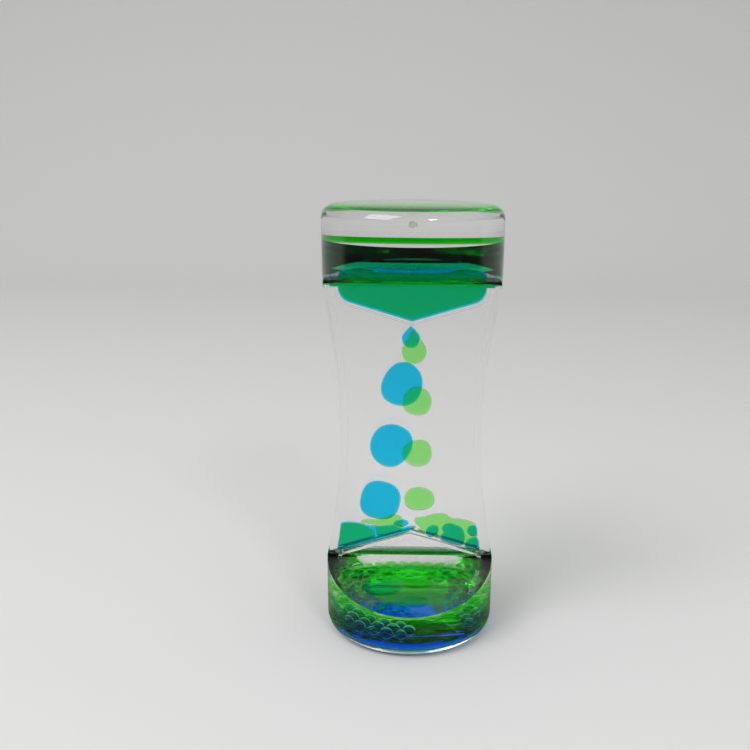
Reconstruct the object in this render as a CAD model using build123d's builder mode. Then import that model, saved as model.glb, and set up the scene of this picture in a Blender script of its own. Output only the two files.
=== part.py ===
from build123d import *
from math import atan, atan2, cos, degrees, floor, hypot, pi, radians, sin, sqrt, tan
import os

# Liquid motion timer: a clear hourglass body of two moulded halves on a middle plate.
# Millimetres, +Z up, the origin at the middle of the base, the front looks along -Y.

# Body, outside
height = 130.0
drum_radius = 26.0
end_rim_radius = 4.0
waist_inset = 4.9
waist_flare = 4.2
shoulder_height = 25.0
slab_half_depth = 5.2
scoop_rim_height = 13.9
scoop_slope = 19.0
scoop_corner_radius = 4.0
cut_overrun = 1.0

# Walls
drum_wall = 1.7
end_wall = 2.0
side_wall = 2.2
panel_wall = 1.9
divider_thickness = 1.0

# Fill holes in the top end
fill_hole_radius = 1.3
fill_boss_radius = 2.1
fill_boss_length = 4.2
fill_hole_offset = 3.0
plug_clearance = 0.05
plug_sink = 0.3

# Funnel plates: a valley with a drip hole above the chambers, a roof below them
funnel_side_gap = 0.32
funnel_rise = 6.5
funnel_wall = 1.0
upper_tip_depth = 33.6
upper_fence_length = 4.2
upper_corner_radius = 5.0
lower_tip_height = 30.2
lower_fence_length = 2.2
lower_corner_radius = 2.5
tip_radius = 0.5
bend_share = 0.96
drip_hole_radius = 0.6

# Liquids at rest in the two drums, as depths below the top face and depths over the floor
liquid_gap = 0.15
blue_reservoir_depth = 9.7
green_reservoir_depth = 8.8
blue_puddle_depth = 2.6
green_puddle_depth = 3.2

# Falling drops: flat discs. Heights are shares of the way from the pool to the upper tip, offsets
# are shares of the chamber's half width, and widths and lengths are shares of the largest drop,
# itself a share of the drops' pitch.
drop_gap = 0.3
drop_edge_radius = 0.7
drop_edge_share = 0.85
hanging_tip_radius = 0.6
drop_size_share = 0.887
blue_drop_height_shares = (0.935, 0.706, 0.402, 0.116)
blue_drop_offset_shares = (-0.0146, -0.1460, -0.3138, -0.4890)
blue_drop_width_shares = (0.4, 0.86, 0.9, 0.9)
blue_drop_length_shares = (0.465, 0.99, 1.0, 0.9)
blue_drop_tilts = (0, -20, -20, -20)
green_drop_height_shares = (0.873, 0.612, 0.349, 0.109)
green_drop_offset_shares = (0.0365, 0.0949, 0.1095, 0.1460)
green_drop_width_shares = (0.55, 0.64, 0.67, 0.7)
green_drop_length_shares = (0.7, 0.65, 0.62, 0.56)
green_drop_tilts = (0, -20, 10, 0)

# Pools on the lower roofs: left and right ends as shares of the funnel's half width
pool_rise = 4.0
green_pool_rise = 4.5
pool_gap = 0.2
blue_pool_end_shares = (-0.97, 0.06)
green_pool_end_shares = ((-0.96, -0.63), (-0.52, -0.1), (0.08, 0.87))
bead_offset_shares = (0.325, 0.635, 0.9)
bead_rise = 1.2
bead_width_shares = (0.27, 0.51, 0.26)
bead_length_shares = (0.23, 0.44, 0.56)

# Drops that slip down the gaps beside the lower funnels
slot_drop_radius = 1.5
slot_drop_gap = 0.3
slot_drop_wall_gap = 2.2
slot_drop_fall = 3.2
slot_drop_counts = (1, 3)

# Bubbles heaped on the puddles
bubble_radius = 2.0
bubble_gap = 0.15
blue_bubble_rows = 3
green_bubble_rows = 4
blue_bubble_span_shares = ((0.0, 0.22), (0.5, 1.0))
green_bubble_span_shares = ((0.0, 1.0),)

# Worked out sizes
middle_height = height / 2
divider_half = divider_thickness / 2
chamber_front = slab_half_depth - panel_wall
chamber_depth = chamber_front - divider_half
chamber_middle = divider_half + chamber_depth / 2
drop_thickness = chamber_depth - 2 * drop_gap
cavity_radius = drum_radius - drum_wall
waist_half_width = drum_radius - waist_inset
chamber_half_width = waist_half_width - side_wall
upper_tip_height = height - upper_tip_depth
pool_level = lower_tip_height + pool_rise
fall_height = upper_tip_height - pool_level
drop_size = drop_size_share * fall_height / len(blue_drop_tilts)
slot_drop_offset = cavity_radius - slot_drop_radius - slot_drop_wall_gap
slot_drop_height = lower_tip_height - funnel_rise - lower_fence_length - slot_drop_fall
bubble_pitch = 2 * bubble_radius + bubble_gap
reach = 2 * drum_radius
front = -1
rear = 1
waist_rise = middle_height - shoulder_height
waist_bend = (waist_rise**2 + waist_flare**2) / (2 * waist_flare)
inner_bend = waist_bend + side_wall
valley_rise = upper_tip_height + funnel_rise - middle_height
valley_room = chamber_half_width + inner_bend - sqrt(inner_bend**2 - valley_rise**2)
funnel_half_width = valley_room - funnel_wall / 2 - funnel_side_gap

os.makedirs("parts", exist_ok=True)


def write_part(part, label):
    """Label a finished piece and write it."""
    part.label = label
    export_step(part, "parts/" + label + ".step")


def moulded_form(drum_inset, end_inset, side_inset, panel_inset):
    """The hourglass form, drawn in by an inset on each kind of wall."""
    radius = drum_radius - drum_inset
    base = end_inset
    top = height - end_inset
    rim = end_rim_radius - end_inset
    diagonal = rim * (1 - sqrt(0.5))
    waist = waist_half_width - side_inset
    waist_radius = waist_bend + side_inset
    arc_end = radius + cut_overrun
    waist_foot = middle_height - sqrt(waist_radius**2 - (waist + waist_radius - arc_end) ** 2)
    slope = radians(scoop_slope)
    corner_y = slab_half_depth + scoop_corner_radius
    outer_foot_y = corner_y - scoop_corner_radius * sin(slope)
    outer_foot_z = scoop_rim_height + (drum_radius - outer_foot_y) * tan(slope)
    corner_z = outer_foot_z + scoop_corner_radius * cos(slope)
    corner_radius = scoop_corner_radius + panel_inset
    foot_y = corner_y - corner_radius * sin(slope)
    foot_z = corner_z - corner_radius * cos(slope)
    rim_z = foot_z - (radius - foot_y) * tan(slope)
    half_turn = (pi / 2 - slope) / 2
    middle_y = corner_y - corner_radius * cos(half_turn)
    middle_z = corner_z - corner_radius * sin(half_turn)
    slab = slab_half_depth - panel_inset
    with BuildPart() as form:
        with BuildSketch(Plane.XZ):
            with BuildLine():
                Line((0, base), (radius - rim, base))
                ThreePointArc(
                    (radius - rim, base), (radius - diagonal, base + diagonal), (radius, base + rim)
                )
                Line((radius, base + rim), (radius, top - rim))
                ThreePointArc(
                    (radius, top - rim), (radius - diagonal, top - diagonal), (radius - rim, top)
                )
                Polyline((radius - rim, top), (0, top), (0, base))
            make_face()
        revolve(axis=Axis.Z)
        with BuildSketch(Plane.XZ):
            with BuildLine():
                Polyline((0, 0), (reach, 0), (reach, waist_foot), (arc_end, waist_foot))
                ThreePointArc((arc_end, waist_foot), (waist, middle_height), (arc_end, height - waist_foot))
                Polyline(
                    (arc_end, height - waist_foot),
                    (reach, height - waist_foot),
                    (reach, height),
                    (0, height),
                    (0, 0),
                )
            make_face()
            mirror(about=Plane.YZ)
        extrude(amount=reach, both=True, mode=Mode.INTERSECT)
        with BuildSketch(Plane.YZ):
            with BuildLine():
                Polyline((0, 0), (reach, 0), (reach, rim_z), (radius, rim_z), (foot_y, foot_z))
                ThreePointArc((foot_y, foot_z), (middle_y, middle_z), (slab, corner_z))
                Line((slab, corner_z), (slab, height - corner_z))
                ThreePointArc(
                    (slab, height - corner_z), (middle_y, height - middle_z), (foot_y, height - foot_z)
                )
                Polyline(
                    (foot_y, height - foot_z),
                    (radius, height - rim_z),
                    (reach, height - rim_z),
                    (reach, height),
                    (0, height),
                    (0, 0),
                )
            make_face()
            mirror(about=Plane.YZ)
        extrude(amount=reach, both=True, mode=Mode.INTERSECT)
    return form.part


def half_space(side, start):
    """A block that holds everything beyond start on one side."""
    with BuildPart() as block:
        with BuildSketch(Plane.XZ.offset(-side * start)):
            with Locations((0, middle_height)):
                Rectangle(2 * reach, 2 * height)
        extrude(amount=-side * reach)
    return block.part


outer_form = moulded_form(0, 0, 0, 0)
cavity_form = moulded_form(drum_wall, end_wall, side_wall, panel_wall)
liquid_form = moulded_form(
    drum_wall + liquid_gap, end_wall + liquid_gap, side_wall + liquid_gap, panel_wall + liquid_gap
)


def shell_half(side):
    """One moulded half with its two drum halves, its flat chamber and its fill boss."""
    with BuildPart() as half:
        add(outer_form)
        add(half_space(side, divider_half), mode=Mode.INTERSECT)
        add(cavity_form, mode=Mode.SUBTRACT)
        with BuildSketch(Plane.XY.offset(height - end_wall)):
            with Locations((0, side * fill_hole_offset)):
                Circle(fill_boss_radius)
        extrude(amount=-fill_boss_length)
        with BuildSketch(Plane.XY.offset(height)):
            with Locations((0, side * fill_hole_offset)):
                Circle(fill_hole_radius)
        extrude(amount=-(end_wall + fill_boss_length), mode=Mode.SUBTRACT)
    return half.part


def middle_plate():
    """The plate between the two halves, out to the full outline."""
    with BuildPart() as plate:
        with BuildSketch(Plane.XZ):
            with Locations((0, middle_height)):
                Rectangle(2 * reach, 2 * height)
        extrude(amount=divider_half, both=True)
        add(outer_form, mode=Mode.INTERSECT)
    return plate.part


def fill_plug(side):
    """The plug that closes one fill hole, a little below the top face."""
    with BuildPart() as plug:
        with BuildSketch(Plane.XY.offset(height - plug_sink)):
            with Locations((0, side * fill_hole_offset)):
                Circle(fill_hole_radius - plug_clearance)
        extrude(amount=-(end_wall + fill_boss_length - 2 * plug_sink))
    return plug.part


def funnel_path(upper, lift):
    """A funnel plate's middle line from fence to fence, or a line inside the valley by a lift."""
    if upper:
        tip, way, fence, rounding = upper_tip_height, 1, upper_fence_length, upper_corner_radius
    else:
        tip, way, fence, rounding = lower_tip_height, -1, lower_fence_length, lower_corner_radius
    end = tip + way * (funnel_rise + fence)
    slope = funnel_rise / funnel_half_width
    half_width = funnel_half_width - lift
    tip = tip + way * lift * hypot(1, slope)
    corner = tip + way * half_width * slope
    leg = way * (end - corner)
    rounding = min(rounding - lift, bend_share * leg / tan((pi / 2 - atan(slope)) / 2))
    return FilletPolyline(
        (-half_width, end),
        (-half_width, corner),
        (0, tip),
        (half_width, corner),
        (half_width, end),
        radius=[rounding, tip_radius, rounding],
    )


def funnel_plate(side, upper):
    """A bent plate that spans one chamber, with a drip hole at its tip."""
    with BuildPart() as plate:
        with BuildSketch(Plane.XZ.offset(-side * divider_half)):
            with BuildLine():
                funnel_path(upper, 0)
            trace(line_width=funnel_wall)
        extrude(amount=-side * chamber_depth)
        with BuildSketch(Plane.XY):
            with Locations((0, side * chamber_middle)):
                Circle(drip_hole_radius)
        extrude(amount=height, mode=Mode.SUBTRACT)
    return plate.part


def reservoir(side, level):
    """The coloured liquid held in the top drum, down to the upper funnel plate."""
    lift = funnel_wall / 2 + liquid_gap
    inside = funnel_half_width - lift
    fence_end = upper_tip_height + funnel_rise + upper_fence_length
    shelf = fence_end + liquid_gap
    with BuildPart() as body:
        with BuildSketch(Plane.XZ.offset(-side * (divider_half + liquid_gap))):
            with BuildLine():
                funnel_path(True, lift)
                Polyline(
                    (inside, fence_end),
                    (inside, shelf),
                    (reach, shelf),
                    (reach, level),
                    (-reach, level),
                    (-reach, shelf),
                    (-inside, shelf),
                    (-inside, fence_end),
                )
            make_face()
        extrude(amount=-side * reach)
        add(liquid_form, mode=Mode.INTERSECT)
    return body.part


def puddle(side, level):
    """The coloured liquid that lies in the bottom drum."""
    with BuildPart() as body:
        add(liquid_form)
        add(half_space(side, divider_half + liquid_gap), mode=Mode.INTERSECT)
        with BuildSketch(Plane.XY):
            Circle(reach)
        extrude(amount=level, mode=Mode.INTERSECT)
    return body.part


def disc(side, x, z, width, length, tilt):
    """A flat drop with rounded edges, squeezed between the divider and the panel."""
    inner = divider_half + drop_gap
    sharpest_bend = min(width, length) ** 2 / (2 * max(width, length))
    edge = min(drop_edge_radius, drop_edge_share * sharpest_bend)
    with BuildPart() as drop:
        with BuildSketch(Plane.XZ.offset(-side * inner)):
            with Locations(Location((x, z), tilt)):
                Ellipse(width / 2, length / 2)
        extrude(amount=-side * drop_thickness)
        fillet(drop.edges(), edge)
    return drop.part


def hanging_drop(side, x, z, width, length):
    """A drop that still hangs by its neck from the drip hole."""
    inner = divider_half + drop_gap
    belly = width / 2
    with BuildPart() as drop:
        with BuildSketch(Plane.XZ.offset(-side * inner)):
            with Locations((x, z - length / 2 + belly)):
                Circle(belly)
            with Locations((x / 2, z + length / 2 - hanging_tip_radius)):
                Circle(hanging_tip_radius)
            make_hull()
        extrude(amount=-side * drop_thickness)
        fillet(drop.edges().filter_by(GeomType.CIRCLE), hanging_tip_radius / 2)
    return drop.part


def falling_drops(side, height_shares, offset_shares, width_shares, length_shares, tilts):
    """All drops of one colour from the tip down, in order."""
    drops = []
    for number in range(len(tilts)):
        x = offset_shares[number] * chamber_half_width
        z = pool_level + height_shares[number] * fall_height
        width = width_shares[number] * drop_size
        length = length_shares[number] * drop_size
        if number == 0:
            drops.append(hanging_drop(side, x, z, width, length))
        else:
            drops.append(disc(side, x, z, width, length, tilts[number]))
    return drops


def roof_pool(side, end_shares, level):
    """Liquid that lies on the lower roof between two ends, up to a level."""
    inner = divider_half + drop_gap
    left = end_shares[0] * funnel_half_width
    right = end_shares[1] * funnel_half_width
    fall = funnel_rise / funnel_half_width
    lift = lower_tip_height + (funnel_wall / 2 + pool_gap) * hypot(1, fall)
    outline = [(left, level), (left, lift - fall * abs(left))]
    if left < 0 < right:
        outline.append((0, lift))
    outline.append((right, lift - fall * abs(right)))
    outline.append((right, level))
    with BuildPart() as pool:
        with BuildSketch(Plane.XZ.offset(-side * inner)):
            with BuildLine():
                Polyline(*outline, close=True)
            make_face()
        extrude(amount=-side * drop_thickness)
        fillet(pool.edges().filter_by(Axis.Y), pool_gap)
    return pool.part


def slot_drops(side, turn, count):
    """A chain of small round drops below one end of the lower funnel."""
    pitch = 2 * slot_drop_radius + slot_drop_gap
    depth = divider_half + slot_drop_radius + slot_drop_gap
    with BuildPart() as chain:
        for number in range(count):
            place = (turn * slot_drop_offset, side * depth, slot_drop_height - number * pitch)
            with Locations(place):
                Sphere(slot_drop_radius)
    return chain.part


def asin_degrees(ratio):
    """The angle in degrees whose sine is the ratio."""
    return degrees(atan2(ratio, sqrt(1 - ratio * ratio)))


def bubble_layer(side, rows, spans, level):
    """Bubbles in curved rows on one puddle, from the drum's wall inwards, in the spans given."""
    first_radius = cavity_radius - bubble_radius - bubble_gap
    nearest = divider_half + bubble_radius + bubble_gap
    with BuildPart() as layer:
        for row in range(rows):
            row_radius = first_radius - row * bubble_pitch
            if row_radius > nearest + bubble_pitch:
                start = asin_degrees(nearest / row_radius)
                count = floor(radians(180 - 2 * start) * row_radius / bubble_pitch) + 1
                spread = (180 - 2 * start) / (count - 1)
                for number in range(count):
                    share = number / (count - 1)
                    if any(low <= share <= high for low, high in spans):
                        angle = radians(start + number * spread)
                        place = (row_radius * cos(angle), side * row_radius * sin(angle), level)
                        with Locations(place):
                            Sphere(bubble_radius)
    return layer.part


def write_shells():
    """The clear body: two halves, the plate between them and the plugs."""
    write_part(shell_half(front), "front_shell")
    write_part(shell_half(rear), "rear_shell")
    write_part(middle_plate(), "divider_plate")
    write_part(fill_plug(front), "front_fill_plug")
    write_part(fill_plug(rear), "rear_fill_plug")


def write_funnels():
    """The four bent plates."""
    for place, side in (("front", front), ("rear", rear)):
        write_part(funnel_plate(side, True), "upper_" + place + "_funnel")
        write_part(funnel_plate(side, False), "lower_" + place + "_funnel")


def write_drops():
    """The falling drops of both colours."""
    blue = falling_drops(
        front,
        blue_drop_height_shares,
        blue_drop_offset_shares,
        blue_drop_width_shares,
        blue_drop_length_shares,
        blue_drop_tilts,
    )
    green = falling_drops(
        rear,
        green_drop_height_shares,
        green_drop_offset_shares,
        green_drop_width_shares,
        green_drop_length_shares,
        green_drop_tilts,
    )
    for number, drop in enumerate(blue, start=1):
        write_part(drop, "blue_drop_" + str(number))
    for number, drop in enumerate(green, start=1):
        write_part(drop, "green_drop_" + str(number))


def write_roof_liquid():
    """Pools and beads on the lower roofs and the drops in the gaps beside them."""
    write_part(roof_pool(front, blue_pool_end_shares, pool_level), "blue_roof_pool")
    green_level = lower_tip_height + green_pool_rise
    pools = [roof_pool(rear, ends, green_level) for ends in green_pool_end_shares]
    write_part(Compound(children=pools), "green_roof_pool")
    beads = []
    for number, share in enumerate(bead_offset_shares):
        width = bead_width_shares[number] * drop_size
        length = bead_length_shares[number] * drop_size
        beads.append(
            disc(front, share * funnel_half_width, lower_tip_height + bead_rise, width, length, 0)
        )
    write_part(Compound(children=beads), "blue_roof_beads")
    write_part(slot_drops(front, -1, slot_drop_counts[0]), "blue_slot_drops")
    chains = [slot_drops(rear, -1, slot_drop_counts[1]), slot_drops(rear, 1, slot_drop_counts[1])]
    write_part(Compound(children=chains), "green_slot_drops")


def write_drum_liquid():
    """What is left in the top drum, and the puddles and bubbles in the bottom drum."""
    write_part(reservoir(front, height - blue_reservoir_depth), "blue_reservoir")
    write_part(reservoir(rear, height - green_reservoir_depth), "green_reservoir")
    blue_level = end_wall + blue_puddle_depth
    green_level = end_wall + green_puddle_depth
    write_part(puddle(front, blue_level), "blue_puddle")
    write_part(puddle(rear, green_level), "green_puddle")
    rest = bubble_radius + bubble_gap
    blue = bubble_layer(front, blue_bubble_rows, blue_bubble_span_shares, blue_level + rest)
    green = bubble_layer(rear, green_bubble_rows, green_bubble_span_shares, green_level + rest)
    write_part(blue, "blue_bubbles")
    write_part(green, "green_bubbles")


write_shells()
write_funnels()
write_drops()
write_roof_liquid()
write_drum_liquid()
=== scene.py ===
# %% [markdown]
# # A liquid motion timer
# The object is a clear plastic hourglass, round at both ends and flat in the middle. A plate in its
# middle plane parts it into a front and a rear compartment. Both are full of clear oil. Blue liquid
# drips through the front one and green liquid through the rear one.
#
# Everything here is seen through something else, so the whole look depends on bending light the
# right way. Each border between two materials is modelled once, as a closed surface whose index of
# refraction is that of the inside against the outside. The skin parts plastic from air, the two
# cavities part oil from plastic, and each body of liquid parts dyed water from oil.

# %% Load the frame
from math import atan, hypot, pi, radians, sin, tan

import bpy
import bmesh
import numpy as np
from mathutils import Matrix, Vector


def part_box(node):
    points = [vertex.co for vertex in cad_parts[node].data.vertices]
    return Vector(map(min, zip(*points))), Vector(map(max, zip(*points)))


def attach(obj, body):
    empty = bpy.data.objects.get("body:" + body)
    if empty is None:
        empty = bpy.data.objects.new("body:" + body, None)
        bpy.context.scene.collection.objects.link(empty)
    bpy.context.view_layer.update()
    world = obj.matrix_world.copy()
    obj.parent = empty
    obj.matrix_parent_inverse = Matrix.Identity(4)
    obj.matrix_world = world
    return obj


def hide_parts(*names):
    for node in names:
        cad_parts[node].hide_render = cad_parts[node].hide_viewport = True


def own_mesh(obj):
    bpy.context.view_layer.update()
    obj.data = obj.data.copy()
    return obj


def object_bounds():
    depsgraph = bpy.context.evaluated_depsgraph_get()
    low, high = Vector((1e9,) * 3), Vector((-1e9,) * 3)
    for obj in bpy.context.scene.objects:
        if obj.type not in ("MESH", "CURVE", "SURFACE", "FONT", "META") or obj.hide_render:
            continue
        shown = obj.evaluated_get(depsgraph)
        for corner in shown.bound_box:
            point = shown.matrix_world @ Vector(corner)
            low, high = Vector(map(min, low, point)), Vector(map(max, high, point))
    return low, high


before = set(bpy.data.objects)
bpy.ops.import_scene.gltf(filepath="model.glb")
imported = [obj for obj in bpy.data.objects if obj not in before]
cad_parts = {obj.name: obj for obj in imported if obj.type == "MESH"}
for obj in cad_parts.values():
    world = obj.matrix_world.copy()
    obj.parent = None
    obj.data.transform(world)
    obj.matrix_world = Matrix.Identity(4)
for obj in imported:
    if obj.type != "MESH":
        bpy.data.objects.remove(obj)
cad_bounds = [list(map(float, corner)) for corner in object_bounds()]
print("CAD box in metres:", cad_bounds)

# %% [markdown]
# ## Sizes
# The frame gives the overall size and where each node lies. The remaining sizes are the walls and
# the slopes of the moulding, in metres. They repeat the values that the solids were made from, so
# that the surfaces made here lie where the solids lie. Front and rear are the signs of Y there.

# %% Sizes of the moulding
mm = 0.001
height = cad_bounds[1][2]
drum_radius = cad_bounds[1][0]
end_rim_radius = 4 * mm
waist_half_width = 21.1 * mm
waist_flare = 4.2 * mm
shoulder_height = 25 * mm
slab_half_depth = 5.2 * mm
scoop_rim_height = 13.9 * mm
scoop_slope = radians(19)
scoop_corner_radius = 4 * mm
divider_half = 0.5 * mm
walls = {"drum": 1.7 * mm, "end": 2 * mm, "side": 2.2 * mm, "panel": 1.9 * mm}
no_walls = dict.fromkeys(walls, 0.0)
middle_height = height / 2
far = 4 * drum_radius  # wider than the body, for "no limit at this height"
front = -1
rear = 1
print("height", round(height / mm, 1), "mm, diameter", round(2 * drum_radius / mm, 1), "mm")

# %% [markdown]
# ## The hourglass as a formula
# Cut level at any height, the body is a rectangle cut by a circle. The rectangle's half width comes
# from the waist's arc, its half depth from the flat panels and the scoops that run out into the
# drums, and the circle is the drum. Short functions of the height give these three numbers, and a
# wall's inset moves each of them inwards. A section built from them keeps the crisp edges of the
# moulding, because its straight sides and its arc have a fixed number of points each.

# %% Half width and radius at each height
def half_chord(radius, offset):
    """Half the chord of a circle at an offset from its centre: sqrt(r^2 - offset^2), 0 outside."""
    return np.sqrt(np.maximum(radius**2 - offset**2, 0))


def half_width(z, wall):
    """Half width of the waist: a circle's arc, narrowest at mid height, drawn in by the side wall.

    half width = waist + r - sqrt(r^2 - (z - middle)^2), with r from the arc's rise and sag.
    """
    rise = middle_height - shoulder_height
    arc = (rise**2 + waist_flare**2) / (2 * waist_flare) + wall["side"]
    waist = waist_half_width - wall["side"]
    width = waist + arc - half_chord(arc, z - middle_height)
    return np.where(width > drum_radius, far, width)


def drum_at(z, wall):
    """Radius of the drum: its wall, and a quarter round at the rim of each end."""
    radius = drum_radius - wall["drum"]
    rim = end_rim_radius - wall["end"]
    end_gap = np.minimum(z, height - z) - wall["end"]
    below = np.clip(rim - end_gap, 0, rim)
    return radius - rim + half_chord(rim, below)


print("narrowest half width:", round(float(half_width(middle_height, no_walls)) / mm, 2), "mm")

# %% [markdown]
# ## The scoops
# In front and behind, each drum is scooped out towards the flat waist: a straight slope runs in
# from the drum's wall to a rounded corner, where the panel begins. Both ends are the same, so all
# heights are measured from the nearer end. Inside the walls the corner keeps its centre and its
# radius grows by the panel's thickness, as in a moulding of even wall.

# %% Half depth at each height
def scoop_points(wall):
    """Where the scoop's slope and its rounded corner start, measured up from the nearer end."""
    corner_y = slab_half_depth + scoop_corner_radius
    outer_foot_y = corner_y - scoop_corner_radius * sin(scoop_slope)
    outer_foot_z = scoop_rim_height + (drum_radius - outer_foot_y) * tan(scoop_slope)
    corner_z = outer_foot_z + scoop_corner_radius * np.cos(scoop_slope)
    rounding = scoop_corner_radius + wall["panel"]
    foot_y = corner_y - rounding * sin(scoop_slope)
    foot_z = corner_z - rounding * np.cos(scoop_slope)
    rim_z = foot_z - (drum_radius - wall["drum"] - foot_y) * tan(scoop_slope)
    return {
        "y": corner_y,
        "z": corner_z,
        "round": rounding,
        "foot_y": foot_y,
        "foot_z": foot_z,
        "rim_z": rim_z,
    }


def half_depth(z, wall):
    """Half depth: the panel, then a quarter round, then a straight slope out to the drum's wall."""
    scoop = scoop_points(wall)
    end_gap = np.minimum(z, height - z)
    slope = scoop["foot_y"] + (scoop["foot_z"] - end_gap) / tan(scoop_slope)
    drop = np.clip(scoop["z"] - end_gap, 0, scoop["round"])
    rounded = scoop["y"] - half_chord(scoop["round"], drop)
    depth = np.where(end_gap < scoop["foot_z"], slope, rounded)
    return np.where(end_gap < scoop["rim_z"], far, depth)


print("scoop corner at", round(float(scoop_points(no_walls)["z"]) / mm, 2), "mm from the end")

# %% [markdown]
# ## Heights that matter
# A loft is only as good as the heights it is cut at. The levels below crowd where the form turns:
# in the rim's quarter round, where the scoop starts at the drum's wall, in the scoop's rounded
# corner, and a tenth of a millimetre beside each crease, so that smooth shading doesn't bleed from
# a round face onto a flat one.

# %% Levels for the loft
RIM_STEPS = 13
RUN_OUT_STEPS = 40
CORNER_STEPS = 16
WAIST_STEPS = 34
RUN_OUT_TURN = 1.25  # radians round the drum that the scoop's rim reaches from the middle
BESIDE_CREASE = 0.1 * mm
SAME_LEVEL = 1e-9
LEVEL_DECIMALS = 7


def form_levels(wall, lowest, highest):
    """Sorted heights: equal angles in each round, equal widths along the scoop's rim."""
    scoop = scoop_points(wall)
    rim = end_rim_radius - wall["end"]
    radius = drum_radius - wall["drum"]
    turn = np.linspace(0, pi / 2, RIM_STEPS)
    rim_levels = wall["end"] + rim * (1 - np.cos(turn))
    across = radius * np.sin(np.linspace(0, RUN_OUT_TURN, RUN_OUT_STEPS))
    run_out = scoop["rim_z"] + (radius - half_chord(radius, across)) * tan(scoop_slope)
    run_out = run_out[run_out < scoop["foot_z"]]
    turn = np.linspace(scoop_slope, pi / 2, CORNER_STEPS)
    corner = scoop["z"] - scoop["round"] * np.cos(turn)
    straight = np.linspace(scoop["z"], middle_height, WAIST_STEPS)
    edges = np.array([scoop["rim_z"], scoop["foot_z"], scoop["z"], rim_levels[-1]])
    beside = np.concatenate([edges - BESIDE_CREASE, edges + BESIDE_CREASE])
    lower = np.concatenate([rim_levels, run_out, corner, straight, edges, beside])
    levels = np.concatenate([lower, height - lower, [lowest, highest]])
    levels = np.unique(np.round(levels, LEVEL_DECIMALS))
    return levels[(levels >= lowest - SAME_LEVEL) & (levels <= highest + SAME_LEVEL)]


print("levels in the skin:", len(form_levels(no_walls, 0, height)))

# %% [markdown]
# ## Sections
# One quarter of a section is a straight side, an arc and a straight front. Mirrored, it makes a
# half section for one compartment or a whole one for the skin. Each ring has the same number of
# points, so that neighbouring rings can be joined by quads.

# %% Rings of points
SIDE_STEPS = 5
ARC_STEPS = 28
FRONT_STEPS = 14


def quarter_rings(z, inner, wall, limit):
    """Quarter sections at heights z, from (x, inner) round to (0, depth), as arrays x and y.

    The side lies at the smaller of the half width and the circle, the arc is the circle between
    the side and the front, and the front lies at the half depth.
    """
    radius = drum_at(z, wall)
    side_x = np.minimum(np.minimum(half_width(z, wall), limit), half_chord(radius, inner))
    front_y = np.minimum(half_depth(z, wall), radius)
    side_y = np.minimum(half_chord(radius, side_x), front_y)
    front_x = np.minimum(half_chord(radius, front_y), side_x)
    reach = np.hypot(side_x, side_y)[:, None]
    start = np.arctan2(side_y, side_x)
    stop = np.arctan2(front_y, front_x)
    t_side = np.linspace(0, 1, SIDE_STEPS)[None, :]
    t_arc = np.linspace(0, 1, ARC_STEPS)[None, 1:]
    t_front = np.linspace(0, 1, FRONT_STEPS)[None, 1:]
    angle = start[:, None] + (stop - start)[:, None] * t_arc
    side = (side_x[:, None] + 0 * t_side, inner + (side_y - inner)[:, None] * t_side)
    arc = (reach * np.cos(angle), reach * np.sin(angle))
    face = (front_x[:, None] * (1 - t_front), front_y[:, None] + 0 * t_front)
    return [np.concatenate(parts, axis=1) for parts in zip(side, arc, face)]


def half_rings(z, side, inner, wall, limit=far):
    """Closed half sections for one compartment: a quarter and its mirror image across x = 0."""
    x, y = quarter_rings(z, inner, wall, limit)
    x = np.concatenate([x, -x[:, -2::-1]], axis=1)
    y = np.concatenate([y, y[:, -2::-1]], axis=1)
    return np.stack([x, side * y, np.broadcast_to(z[:, None], x.shape)], axis=2)


def whole_rings(z, wall):
    """Closed whole sections: two half sections that meet in the middle plane."""
    rear_half = half_rings(z, rear, 0.0, wall)
    front_half = half_rings(z, front, 0.0, wall)[:, -2:0:-1]
    return np.concatenate([rear_half, front_half], axis=1)


print("points in a whole section:", whole_rings(np.array([middle_height]), no_walls).shape[1])

# %% [markdown]
# ## From rings to a closed mesh
# Neighbouring rings are joined by quads and the two end rings are closed by one face each. Points
# that fall together are welded, so that nothing is left open or without an area, and the faces are
# turned outwards before the mesh is used. Light only bends the right way into a closed mesh.

# %% Closed meshes
WELD = 2e-7
NO_LENGTH = 1e-7
SHADING_CREASE = radians(28)


def add_object(name, mesh):
    """A mesh in the scene as an object at the origin, unturned and unscaled."""
    piece = bpy.data.objects.new(name, mesh)
    bpy.context.scene.collection.objects.link(piece)
    return piece


def mesh_object(name, points, faces, crease=SHADING_CREASE):
    """Closed mesh object: weld doubles, turn faces outwards, smooth up to the crease angle."""
    mesh = bpy.data.meshes.new(name)
    mesh.from_pydata(points.reshape(-1, 3).tolist(), [], faces)
    work = bmesh.new()
    work.from_mesh(mesh)
    bmesh.ops.remove_doubles(work, verts=work.verts, dist=WELD)
    bmesh.ops.dissolve_degenerate(work, edges=work.edges, dist=NO_LENGTH)
    bmesh.ops.recalc_face_normals(work, faces=work.faces)
    work.to_mesh(mesh)
    work.free()
    mesh.shade_smooth()
    mesh.set_sharp_from_angle(angle=crease)
    return add_object(name, mesh)


def ring_faces(rings, points, first=0):
    """Quads between neighbouring rings, and one face on each end ring."""
    row = first + np.arange(rings - 1)[:, None] * points
    start = row + np.arange(points)[None, :]
    right = row + (np.arange(points)[None, :] + 1) % points
    quads = np.stack([start, right, right + points, start + points], axis=2)
    faces = quads.reshape(-1, 4).tolist()
    faces.append((first + np.arange(points))[::-1].tolist())
    faces.append((first + (rings - 1) * points + np.arange(points)).tolist())
    return faces


def loft(name, rings):
    """Closed mesh through a stack of rings, an array of shape (rings, points, 3)."""
    return mesh_object(name, rings, ring_faces(rings.shape[0], rings.shape[1]))


print("faces between three rings of four points:", len(ring_faces(3, 4)))

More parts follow.
